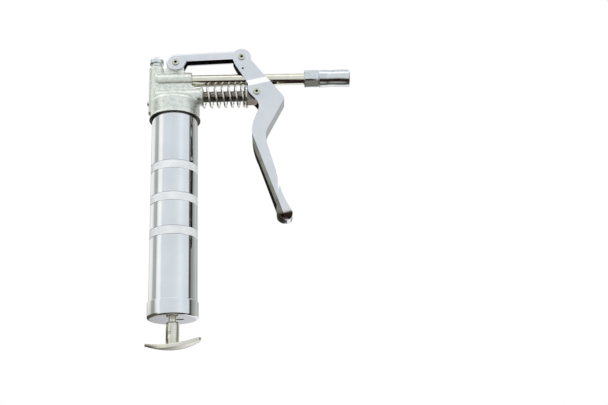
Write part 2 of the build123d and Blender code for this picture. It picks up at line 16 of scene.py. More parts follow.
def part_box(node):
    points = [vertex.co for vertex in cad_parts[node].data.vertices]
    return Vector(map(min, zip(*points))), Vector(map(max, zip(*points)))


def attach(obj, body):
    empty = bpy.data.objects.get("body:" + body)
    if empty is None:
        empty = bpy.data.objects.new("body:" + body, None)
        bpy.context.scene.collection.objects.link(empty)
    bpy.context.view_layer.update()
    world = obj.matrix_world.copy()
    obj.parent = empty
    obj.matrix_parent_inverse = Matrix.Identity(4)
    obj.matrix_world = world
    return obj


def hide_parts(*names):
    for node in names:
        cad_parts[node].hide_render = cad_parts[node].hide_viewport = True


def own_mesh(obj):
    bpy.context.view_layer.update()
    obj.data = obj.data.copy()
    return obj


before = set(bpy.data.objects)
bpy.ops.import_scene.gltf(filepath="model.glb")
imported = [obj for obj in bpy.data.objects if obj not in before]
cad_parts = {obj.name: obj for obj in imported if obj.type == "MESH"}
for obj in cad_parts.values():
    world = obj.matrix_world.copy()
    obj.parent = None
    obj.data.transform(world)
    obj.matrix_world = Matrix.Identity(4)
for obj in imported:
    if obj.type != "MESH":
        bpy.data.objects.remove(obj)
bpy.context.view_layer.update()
LOG = logging.getLogger("grease_gun")
MM = 0.001
Colour = tuple[float, float, float]


class Body(str, Enum):
    """The moving bodies that pieces ride on."""

    GUN = "gun"
    LINK = "link"
    LEVER = "lever_body"


class Run(str, Enum):
    """The axis that a spring is wound along."""

    ALONG_X = "X"
    ALONG_Z = "Z"


# ------------------------------------------------------------------ helpers


def only(piece: bpy.types.Object) -> None:
    """Make one piece the only selected and active object.

    Args:
        piece: The object that the next operator works on.
    """
    if bpy.context.object and bpy.context.object.mode != "OBJECT":
        bpy.ops.object.mode_set(mode="OBJECT")
    bpy.ops.object.select_all(action="DESELECT")
    piece.select_set(True)
    bpy.context.view_layer.objects.active = piece


def clear_selection() -> None:
    """Leave nothing selected."""
    bpy.ops.object.select_all(action="DESELECT")


def settle(piece: bpy.types.Object) -> None:
    """Move a piece's place into its mesh, so its object sits at the origin.

    Args:
        piece: The finished piece.
    """
    only(piece)
    bpy.ops.object.transform_apply(location=True, rotation=True, scale=True)


def shade(piece: bpy.types.Object, degrees: float = 30.0) -> None:
    """Shade smooth, with creases kept sharp.

    Args:
        piece: The piece to shade.
        degrees: Edges sharper than this stay sharp.
    """
    only(piece)
    bpy.ops.object.shade_smooth_by_angle(angle=math.radians(degrees))


def merged_copy(node: str, name: str) -> bpy.types.Object:
    """Copy a CAD node's mesh and join its loose triangles.

    Args:
        node: The CAD node.
        name: The new piece's name.

    Returns:
        The new piece, with no parent.
    """
    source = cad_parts[node]
    piece = bpy.data.objects.new(name, source.data.copy())
    bpy.context.scene.collection.objects.link(piece)
    piece.data.materials.clear()
    only(piece)
    bpy.ops.object.mode_set(mode="EDIT")
    bpy.ops.mesh.select_all(action="SELECT")
    bpy.ops.mesh.remove_doubles(threshold=1e-6)
    bpy.ops.mesh.normals_make_consistent(inside=False)
    bpy.ops.object.mode_set(mode="OBJECT")
    return piece


def turned(name: str, outline: list[tuple[float, float]], segments: int) -> bpy.types.Object:
    """Spin a closed outline round Z into a solid ring.

    Args:
        name: The new piece's name.
        outline: Radius and height of each corner of half the section.
        segments: Facets round the piece.

    Returns:
        The turned piece.
    """
    line = bpy.data.curves.new(name, "CURVE")
    line.dimensions = "3D"
    path = line.splines.new("POLY")
    path.points.add(len(outline) - 1)
    for point, (radius, height) in zip(path.points, outline):
        point.co = (radius, 0.0, height, 1.0)
    path.use_cyclic_u = True
    piece = bpy.data.objects.new(name, line)
    bpy.context.scene.collection.objects.link(piece)
    only(piece)
    bpy.ops.object.convert(target="MESH")
    piece = bpy.context.object
    bpy.ops.object.mode_set(mode="EDIT")
    bpy.ops.mesh.select_all(action="SELECT")
    bpy.ops.mesh.spin(steps=segments, angle=2 * math.pi, center=(0.0, 0.0, 0.0), axis=(0.0, 0.0, 1.0))
    bpy.ops.mesh.select_all(action="SELECT")
    bpy.ops.mesh.remove_doubles(threshold=2e-6)
    bpy.ops.mesh.normals_make_consistent(inside=False)
    bpy.ops.object.mode_set(mode="OBJECT")
    return piece


def size_of(node: str) -> tuple[Vector, Vector]:
    """A CAD node's lowest and highest corners, as vectors.

    Args:
        node: The CAD node.

    Returns:
        The two corners.
    """
    low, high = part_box(node)
    return Vector(low), Vector(high)


# ------------------------------------------------------------------ finishes


@dataclass(frozen=True)
class Finish:
    """A metal or rubber surface with mottled gloss and fine relief.

    Attributes:
        name: The material's name.
        light: Colour where the surface is clean.
        dark: Colour in its stains.
        metal: How metallic it is.
        gloss: Lowest and highest roughness.
        stain_size: Size of a stain, in metres.
        grain_size: Size of the fine relief, in metres.
        grain_height: Height of the fine relief, in metres.
        stretch: How far grain is drawn out along X, Y and Z.
    """

    name: str
    light: Colour
    dark: Colour
    metal: float = 1.0
    gloss: tuple[float, float] = (0.06, 0.14)
    stain_size: float = 0.02
    grain_size: float = 0.0005
    grain_height: float = 0.00001
    stretch: tuple[float, float, float] = (1.0, 1.0, 1.0)

    def material(self) -> bpy.types.Material:
        """Build the material, or return it if it was built before.

        Returns:
            The finished material.
        """
        known = bpy.data.materials.get(self.name)
        if known:
            return known
        made = bpy.data.materials.new(self.name)
        made.use_nodes = True
        nodes = made.node_tree.nodes
        links = made.node_tree.links
        surface = nodes["Principled BSDF"]
        surface.inputs["Metallic"].default_value = self.metal
        place = nodes.new("ShaderNodeTexCoord")
        drawn = nodes.new("ShaderNodeMapping")
        drawn.inputs["Scale"].default_value = self.stretch
        links.new(place.outputs["Object"], drawn.inputs["Vector"])

        stains = nodes.new("ShaderNodeTexNoise")
        stains.inputs["Scale"].default_value = 1.0 / self.stain_size
        stains.inputs["Detail"].default_value = 6.0
        stains.inputs["Roughness"].default_value = 0.62
        links.new(place.outputs["Object"], stains.inputs["Vector"])
        tone = nodes.new("ShaderNodeValToRGB")
        tone.color_ramp.elements[0].position = 0.30
        tone.color_ramp.elements[0].color = (*self.dark, 1.0)
        tone.color_ramp.elements[1].position = 0.58
        tone.color_ramp.elements[1].color = (*self.light, 1.0)
        links.new(stains.outputs["Fac"], tone.inputs["Fac"])
        links.new(tone.outputs["Color"], surface.inputs["Base Color"])

        grain = nodes.new("ShaderNodeTexNoise")
        grain.inputs["Scale"].default_value = 1.0 / self.grain_size
        grain.inputs["Detail"].default_value = 3.0
        links.new(drawn.outputs["Vector"], grain.inputs["Vector"])
        gloss = nodes.new("ShaderNodeMapRange")
        gloss.inputs["To Min"].default_value = self.gloss[0]
        gloss.inputs["To Max"].default_value = self.gloss[1]
        blend = nodes.new("ShaderNodeMath")
        blend.operation = "MULTIPLY_ADD"
        blend.inputs[1].default_value = 0.35
        links.new(grain.outputs["Fac"], blend.inputs[0])
        share = nodes.new("ShaderNodeMath")
        share.operation = "MULTIPLY"
        share.inputs[1].default_value = 0.65
        links.new(stains.outputs["Fac"], share.inputs[0])
        links.new(share.outputs["Value"], blend.inputs[2])
        links.new(blend.outputs["Value"], gloss.inputs["Value"])
        gloss.inputs["From Min"].default_value = 0.35
        gloss.inputs["From Max"].default_value = 0.65
        links.new(gloss.outputs["Result"], surface.inputs["Roughness"])

        relief = nodes.new("ShaderNodeBump")
        relief.inputs["Strength"].default_value = 1.0
        relief.inputs["Distance"].default_value = self.grain_height
        links.new(grain.outputs["Fac"], relief.inputs["Height"])
        links.new(relief.outputs["Normal"], surface.inputs["Normal"])
        return made

    def on(self, piece: bpy.types.Object) -> None:
        """Put this finish in every material slot of a piece."""
        dress(piece, self.material())


def dress(piece: bpy.types.Object, made: bpy.types.Material) -> None:
    """Assign one material to a whole piece.

    Args:
        piece: The piece or CAD node.
        made: Its material.
    """
    if not piece.material_slots:
        piece.data.materials.append(made)
    for holder in piece.material_slots:
        holder.material = made


CHROME = Finish("bright_chrome", (0.93, 0.945, 0.97), (0.86, 0.88, 0.91), gloss=(0.05, 0.10),
                stain_size=0.03, grain_size=0.0011, grain_height=0.0000025, stretch=(1, 1, 0.12))
PRESSED_CHROME = Finish("pressed_chrome", (0.92, 0.93, 0.965), (0.84, 0.86, 0.90), gloss=(0.10, 0.19),
                        stain_size=0.022, grain_size=0.0012, grain_height=0.000004)
KNURL = Finish("frosted_knurl", (0.97, 0.975, 0.98), (0.88, 0.89, 0.90), metal=0.4, gloss=(0.30, 0.45),
               stain_size=0.008, grain_size=0.0004, grain_height=0.00002)
CAST = Finish("satin_casting", (0.88, 0.91, 0.85), (0.66, 0.69, 0.63), metal=0.9, gloss=(0.24, 0.40),
              stain_size=0.003, grain_size=0.0008, grain_height=0.00008)
ZINC = Finish("bright_zinc", (0.88, 0.92, 0.94), (0.72, 0.78, 0.80), gloss=(0.12, 0.24),
              stain_size=0.007, grain_size=0.0006, grain_height=0.000008)
NICKEL = Finish("polished_nickel", (0.92, 0.90, 0.80), (0.80, 0.77, 0.63), gloss=(0.08, 0.18),
                stain_size=0.012, grain_size=0.0007, grain_height=0.000005, stretch=(0.15, 1, 1))
ROD_NICKEL = Finish("rod_nickel", (0.90, 0.88, 0.79), (0.72, 0.69, 0.58), gloss=(0.14, 0.28),
                    stain_size=0.007, grain_size=0.0006, grain_height=0.00001, stretch=(1, 1, 0.3))
STEEL = Finish("ground_steel", (0.78, 0.77, 0.74), (0.55, 0.53, 0.48), gloss=(0.12, 0.26),
               stain_size=0.009, grain_size=0.0004, grain_height=0.000006, stretch=(1, 0.2, 1))
WIRE = Finish("spring_wire", (0.97, 0.97, 0.96), (0.80, 0.80, 0.78), gloss=(0.16, 0.28),
              stain_size=0.006, grain_size=0.0003, grain_height=0.000004)
RIVET = Finish("rivet_zinc", (0.76, 0.77, 0.66), (0.50, 0.51, 0.40), gloss=(0.20, 0.36),
               stain_size=0.003, grain_size=0.0003, grain_height=0.00001)
# Painted shade: a dark strip along the barrel side of the lever's handle, standing in for the shade on a
# turned edge.
PAINTED_EDGE_SHADE = Finish("painted_edge_shade", (0.34, 0.33, 0.285), (0.20, 0.19, 0.155), gloss=(0.16, 0.28),
                     stain_size=0.009, grain_size=0.0008, grain_height=0.000006)
# Dark brownish steel for the plunger.
DARK_STEEL = Finish("dark_steel", (0.26, 0.23, 0.19), (0.12, 0.10, 0.08), gloss=(0.10, 0.20),
                     stain_size=0.006, grain_size=0.0004, grain_height=0.000004)
# Painted shade: near-black, put on channel insides, rivet hollows and the casting's underside, where
# shade falls.
PAINTED_SHADE_STEEL = Finish("painted_shade_steel", (0.075, 0.070, 0.064), (0.030, 0.028, 0.025), metal=0.9,
                      gloss=(0.34, 0.50), stain_size=0.006, grain_size=0.0004, grain_height=0.00001)
HARD_STEEL = Finish("hardened_jaw", (0.32, 0.31, 0.30), (0.14, 0.14, 0.14), gloss=(0.25, 0.40),
                    stain_size=0.004, grain_size=0.0003, grain_height=0.00001)
RUBBER = Finish("moulded_rubber", (0.030, 0.030, 0.031), (0.018, 0.018, 0.019), metal=0.0,
                gloss=(0.50, 0.72), stain_size=0.006, grain_size=0.0004, grain_height=0.00002)


# ------------------------------------------------------------------ barrel


@dataclass
class Barrel:
    """The chromed barrel with its three knurled bands, and the cap below it.

    Attributes:
        segments: Facets round the barrel.
        rows: Rows of knurl teeth in one band.
        tooth: Height of a knurl tooth.
        band_width: Width of one band.
        band_heights: The bands' middles along the barrel.
        radius: The bare barrel's radius.
        wall: Its wall.
        thread_step: How far its threaded ends step in.
    """

    segments: int = 168
    rows: int = 9
    tooth: float = 0.00022
    band_width: float = 6.6 * MM
    band_heights: tuple[float, ...] = (32.0 * MM, 4.6 * MM, -23.6 * MM)
    radius: float = 19.0 * MM
    wall: float = 1.4 * MM
    thread_step: float = 0.5 * MM

    def outline(self) -> list[tuple[float, float]]:
        """Draw half of the tube's section, from its lower end up the outside and down the bore.

        Returns:
            Radius and height of each corner.
        """
        low, high = size_of("barrel_tube")
        bare_low = size_of("end_cap")[1].z
        bare_high = size_of("head_casting")[0].z
        thread = self.radius - self.thread_step
        line = [(thread, low.z), (thread, bare_low), (self.radius, bare_low + 0.3 * MM)]
        for middle in sorted(self.band_heights):
            edge = middle - self.band_width / 2
            root = self.radius - 0.02 * MM
            groove = self.radius - 0.13 * MM
            line += [(self.radius, edge - 0.40 * MM), (groove, edge - 0.22 * MM), (root, edge)]
            line += [(root, edge + self.band_width * row / self.rows) for row in range(1, self.rows + 1)]
            top = edge + self.band_width
            line += [(groove, top + 0.22 * MM), (self.radius, top + 0.40 * MM)]
        line += [(self.radius, bare_high - 0.3 * MM), (thread, bare_high), (thread, high.z)]
        line += [(self.radius - self.wall, high.z), (self.radius - self.wall, low.z)]
        return line

    def build_tube(self) -> bpy.types.Object:
        """Turn the tube and roll the knurl into it.

        Returns:
            The finished tube.
        """
        tube = turned("barrel_skin", self.outline(), self.segments)
        self.roll_knurl(tube)
        shade(tube, 25.0)
        return tube

    def roll_knurl(self, tube: bpy.types.Object) -> None:
        """Raise each quad of the bands to a small pyramid, and give the bands their own finish.

        Args:
            tube: The closed tube.
        """
        CHROME.on(tube)
        tube.data.materials.append(KNURL.material())
        only(tube)
        for face in tube.data.polygons:
            middle = face.center
            reach = math.hypot(middle.x, middle.y)
            outer = reach > self.radius - self.thread_step and abs(face.normal.z) < 0.3
            inside = any(abs(middle.z - h) < self.band_width / 2 for h in self.band_heights)
            face.select = outer and inside
            if face.select:
                face.material_index = 1
        bpy.ops.object.mode_set(mode="EDIT")
        bpy.ops.mesh.select_mode(type="FACE")
        bpy.ops.object.mode_set(mode="OBJECT")
        for face in tube.data.polygons:
            face.select = face.material_index == 1
        bpy.ops.object.mode_set(mode="EDIT")
        bpy.ops.mesh.poke(offset=self.tooth)
        bpy.ops.object.mode_set(mode="OBJECT")

    def build(self) -> list[bpy.types.Object]:
        """Build the tube and dress the barrel's other parts.

        Returns:
            The new pieces.
        """
        tube = self.build_tube()
        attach(tube, Body.GUN.value)
        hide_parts("barrel_tube")
        finish_node("end_cap", CHROME, bevel=0.0)
        finish_node("barrel_gasket", RUBBER)
        return [tube]


def finish_node(node: str, finish: Finish, bevel: float = 0.12 * MM) -> None:
    """Dress a CAD node, and break its sharp edges.

    Args:
        node: The CAD node.
        finish: Its finish.
        bevel: Width of the broken edge, or 0 for none.
    """
    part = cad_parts[node]
    finish.on(part)
    if bevel > 0.0:
        weld = part.modifiers.new("weld", "WELD")
        weld.merge_threshold = 1e-6
        broken = part.modifiers.new("broken_edges", "BEVEL")
        broken.width = bevel
        broken.segments = 2
        broken.limit_method = "ANGLE"
        broken.angle_limit = math.radians(40)
        broken.use_clamp_overlap = True
        broken.harden_normals = True


# ------------------------------------------------------------------ head


@dataclass
class Head:
    """The casting, with the soft edges that a casting has, and the parts screwed into it.

    Attributes:
        voxel: Size of the casting's mesh.
        rounds: Smoothing passes that round its edges and roots.
    """

    voxel: float = 0.36 * MM
    rounds: int = 2

    def build_casting(self) -> bpy.types.Object:
        """Remesh the casting and smooth its edges and roots.

        Returns:
            The casting.
        """
        casting = merged_copy("head_casting", "head_cast_body")
        only(casting)
        remesh = casting.modifiers.new("remesh", "REMESH")
        remesh.mode = "VOXEL"
        remesh.voxel_size = self.voxel
        remesh.use_smooth_shade = True
        bpy.ops.object.modifier_apply(modifier="remesh")
        soften = casting.modifiers.new("soften", "SMOOTH")
        soften.factor = 0.5
        soften.iterations = self.rounds
        bpy.ops.object.modifier_apply(modifier="soften")
        CAST.on(casting)
        # Painted shade: the downward faces round the casting's mouth, under the collar, get the
        # near-black material.
        casting.data.materials.append(PAINTED_SHADE_STEEL.material())
        mouth = size_of("head_casting")[0].z
        for face in casting.data.polygons:
            if face.center.z < mouth + 0.5 * MM and face.normal.z < -0.7:
                face.material_index = 1
        return casting

    def build(self) -> list[bpy.types.Object]:
        """Build the casting and dress the small parts of the head.

        Returns:
            The new pieces.
        """
        casting = self.build_casting()
        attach(casting, Body.GUN.value)
        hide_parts("head_casting")
        finish_node("vent_screw", ZINC)
        finish_node("plug_washer", STEEL)
        finish_node("check_valve_plug", ZINC)
        finish_node("check_ball", STEEL, bevel=0.0)
        finish_node("plunger_seal", RUBBER, bevel=0.0)
        return [casting]


# ------------------------------------------------------------------ springs


@dataclass
class CoilSpring:
    """A wire spring with closed ends.

    Attributes:
        name: The piece's name.
        node: The CAD node it stands for.
        body: The body that its fixed end rides on.
        joint: The joint that squeezes it; not used.
        run: The axis that it is wound along.
        wire: Radius of the wire.
        turns: Turns from end to end.
        closed: Turns that lie close together at each end.
        anchor_high: Whether the fixed end is the far one along the axis; not used.
        lean: How far the turns crowd towards the far end, from 0.
    """

    name: str
    node: str
    body: Body
    joint: str
    run: Run
    wire: float
    turns: float
    closed: float
    travel: float
    anchor_high: bool = False
    lean: float = 0.0
    per_turn: int = 28

    def along(self, turn: float, length: float) -> float:
        """Distance along the spring at a number of turns.

        Args:
            turn: Turns from the near end.
            length: The spring's length between wire middles.

        Returns:
            The distance from the near end.
        """
        tight = 2.04 * self.wire
        open_turns = self.turns - 2 * self.closed
        open_length = length - 2 * self.closed * tight
        if turn < self.closed:
            return turn * tight
        if turn > self.turns - self.closed:
            return length - (self.turns - turn) * tight
        share = (turn - self.closed) / open_turns
        share += self.lean * share * (1.0 - share)
        return self.closed * tight + share * open_length

    def build(self) -> bpy.types.Object:
        """Wind the wire and hang it on its body.

        Returns:
            The spring.
        """
        low, high = size_of(self.node)
        middle = (low + high) / 2
        if self.run is Run.ALONG_X:
            radius = (high.y - low.y) / 2 - self.wire
            length = high.x - low.x - 2 * self.wire
        else:
            radius = (high.x - low.x) / 2 - self.wire
            length = high.z - low.z - 2 * self.wire
        wire = bpy.data.curves.new(self.name, "CURVE")
        wire.dimensions = "3D"
        wire.bevel_depth = self.wire
        wire.bevel_resolution = 3
        wire.use_fill_caps = True
        wire.resolution_u = 2
        path = wire.splines.new("NURBS")
        count = int(self.turns * self.per_turn) + 1
        path.points.add(count - 1)
        for i in range(count):
            turn = i / self.per_turn
            swing = 2 * math.pi * turn
            reach = self.wire + self.along(turn, length)
            side, rise = radius * math.cos(swing), radius * math.sin(swing)
            if self.run is Run.ALONG_X:
                spot = (low.x + reach, middle.y + side, middle.z + rise)
            else:
                spot = (middle.x + side, middle.y + rise, low.z + reach)
            path.points[i].co = (*spot, 1.0)
        path.order_u = 3
        path.use_endpoint_u = True
        spring = bpy.data.objects.new(self.name, wire)
        bpy.context.scene.collection.objects.link(spring)
        only(spring)
        bpy.ops.object.convert(target="MESH")
        spring = bpy.context.object
        settle(spring)
        shade(spring, 60.0)
        WIRE.on(spring)
        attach(spring, self.body.value)
        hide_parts(self.node)
        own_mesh(spring)
        return spring


# ------------------------------------------------------------------ linkage


@dataclass
class Pressing:
    """A part pressed from sheet: bright outside, with painted shade on the inside.

    Attributes:
        node: The CAD node that it stands for.
        name: The piece's name.
        body: The body that it rides on.
        slot: Its material slot; not used.
        web_out: The way that the outside of its web faces.
        channel_half: Half the width that counts as within the channel.
        broken: Width of its broken edges.
    """

    node: str
    name: str
    body: Body
    slot: str
    web_out: Vector
    channel_half: float = 3.4 * MM
    broken: float = 0.15 * MM

    def build(self) -> bpy.types.Object:
        """Shape the pressing from its CAD node and dress it.

        Returns:
            The pressing.
        """
        piece = merged_copy(self.node, self.name)
        only(piece)
        bpy.ops.object.mode_set(mode="EDIT")
        bpy.ops.mesh.select_all(action="SELECT")
        bpy.ops.mesh.dissolve_limited(angle_limit=math.radians(1.0))
        bpy.ops.object.mode_set(mode="OBJECT")
        self.shape(piece)
        self.finish_faces(piece)
        shade(piece, 24.0)
        broken = piece.modifiers.new("broken_edges", "BEVEL")
        broken.width = self.broken
        broken.segments = 2
        broken.limit_method = "ANGLE"
        broken.angle_limit = math.radians(40)
        broken.harden_normals = True
        bpy.ops.object.modifier_apply(modifier="broken_edges")
        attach(piece, self.body.value)
        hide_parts(self.node)
        return piece

    def is_inside(self, face: bpy.types.MeshPolygon) -> bool:
        """Tell whether a face is on the inside of the channel.

        Args:
            face: A face of the pressing.

        Returns:
            True for the cheeks' inner faces and the web's.
        """
        if abs(face.normal.y) > 0.6:
            return face.normal.y * face.center.y < 0
        return abs(face.center.y) < self.channel_half and face.normal.dot(self.web_out) < -0.3

    def finish_faces(self, piece: bpy.types.Object) -> None:
        """Dress the outside, and paint shade on the inside.

        Args:
            piece: The pressing.
        """
        PRESSED_CHROME.on(piece)
        # Painted shade: the cheeks' inner faces and the web's inside get the near-black material.
        piece.data.materials.append(PAINTED_SHADE_STEEL.material())
        for face in piece.data.polygons:
            face.material_index = 1 if self.is_inside(face) else 0

    def shape(self, piece: bpy.types.Object) -> None:
        """Leave the pressing as it is."""


@dataclass
class PressedLever(Pressing):
    """The lever, with painted shade in a strip along the barrel side of its handle, standing in for the
    shade of a turned edge.

    Attributes:
        strip: Width of the strip of painted shade.
        start: A point on the handle's straight edge, from the lever's pivot.
        run: The way that this edge goes.
    """

    strip: float = 2.7 * MM
    start: Vector = field(default_factory=lambda: Vector((12.2, 0.0, -95.5)) * MM)
    run: Vector = field(default_factory=lambda: Vector((14.0, 0.0, -42.5)).normalized())

    def shape(self, piece: bpy.types.Object) -> None:
        """Cut the cheeks along the strip, so that it can take its painted shade.

        Args:
            piece: The lever.
        """
        across = Vector((-self.run.z, 0.0, self.run.x))
        only(piece)
        bpy.ops.object.mode_set(mode="EDIT")
        bpy.ops.mesh.select_all(action="SELECT")
        bpy.ops.mesh.bisect(plane_co=self.origin() + across * self.strip, plane_no=across,
                            use_fill=False)
        bpy.ops.object.mode_set(mode="OBJECT")

    def origin(self) -> Vector:
        """The point that the strip is measured from."""
        low, high = size_of("lever_pivot_rivet")
        return (low + high) / 2 + self.start

    def finish_faces(self, piece: bpy.types.Object) -> None:
        """Paint shade on the strip, after dressing the outside and the inside.

        Args:
            piece: The lever.
        """
        super().finish_faces(piece)
        # Painted shade: outside faces within the strip get the dark material.
        piece.data.materials.append(PAINTED_EDGE_SHADE.material())
        across = Vector((-self.run.z, 0.0, self.run.x))
        for face in piece.data.polygons:
            if face.material_index == 0 and (face.center - self.origin()).dot(across) < self.strip:
                face.material_index = 2


@dataclass
class Linkage:
    """Link, lever, plunger and their rivets.

    Attributes:
        lever: The lever.
        link: The link.
        hollow_r: Radius of the hollow in a rivet's heads.
    """

    hollow_r: float = 1.21 * MM

    lever: PressedLever = field(default_factory=lambda: PressedLever(
        "lever", "lever_pressing", Body.LEVER, "lever_chrome", Vector((0.9, 0.0, 0.3))))
    link: Pressing = field(default_factory=lambda: Pressing(
        "fulcrum_link", "link_pressing", Body.LINK, "link_chrome", Vector((0.0, 0.0, 1.0))))

    def build(self) -> list[bpy.types.Object]:
        """Build the two pressings and dress the rest of the linkage.

        Returns:
            The new pieces.
        """
        made = [self.lever.build(), self.link.build()]
        for pin in ("link_pivot_pin", "lever_pivot_rivet", "plunger_pin"):
            finish_node(pin, RIVET)
            self.darken_holes(pin)
        finish_node("plunger", DARK_STEEL)
        finish_node("spring_washer", STEEL)
        return made

    def darken_holes(self, pin: str) -> None:
        """Paint shade into the hollow in a rivet's heads.

        Args:
            pin: The rivet's CAD node.
        """
        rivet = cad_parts[pin]
        low, high = size_of(pin)
        middle = (low + high) / 2
        # Painted shade in the hollows of the heads.
        rivet.data.materials.append(PAINTED_SHADE_STEEL.material())
        last = len(rivet.data.materials) - 1
        for face in rivet.data.polygons:
            reach = math.hypot(face.center.x - middle.x, face.center.z - middle.z)
            if reach < self.hollow_r and min(face.center.y - low.y, high.y - face.center.y) > 0.05 * MM:
                face.material_index = last


# ------------------------------------------------------------------ outlet, follower and handle


@dataclass
class Outlet:
    """The outlet pipe and the coupler at its end."""

    finishes: dict[str, Finish] = field(default_factory=lambda: {
        "outlet_pipe": NICKEL,
        "coupler_nut": ZINC,
        "coupler_body": ZINC,
        "coupler_jaws": HARD_STEEL,
        "coupler_seal": RUBBER,
        "coupler_piston": STEEL,
    })

    def build(self) -> list[bpy.types.Object]:
        """Dress the outlet's parts.

        Returns:
            The new pieces.
        """
        for node, finish in self.finishes.items():
            finish_node(node, finish)
        return []


@dataclass
class FollowerRod:
    """The follower in the barrel, its rod and the T-handle."""

    finishes: dict[str, Finish] = field(default_factory=lambda: {
        "follower_cup": RUBBER,
        "follower_plate": STEEL,
        "pull_rod": ROD_NICKEL,
        "rod_nut": STEEL,
        "rod_clip": STEEL,
        "handle_sleeve": ROD_NICKEL,
        "handle_pin": RIVET,
        "t_handle": ROD_NICKEL,
    })

    def build(self) -> list[bpy.types.Object]:
        """Dress the follower's and the rod's parts.

        Returns:
            The new pieces.
        """
        for node, finish in self.finishes.items():
            finish_node(node, finish, bevel=0.55 * MM if node == "t_handle" else 0.12 * MM)
        return []


# ------------------------------------------------------------------ studio


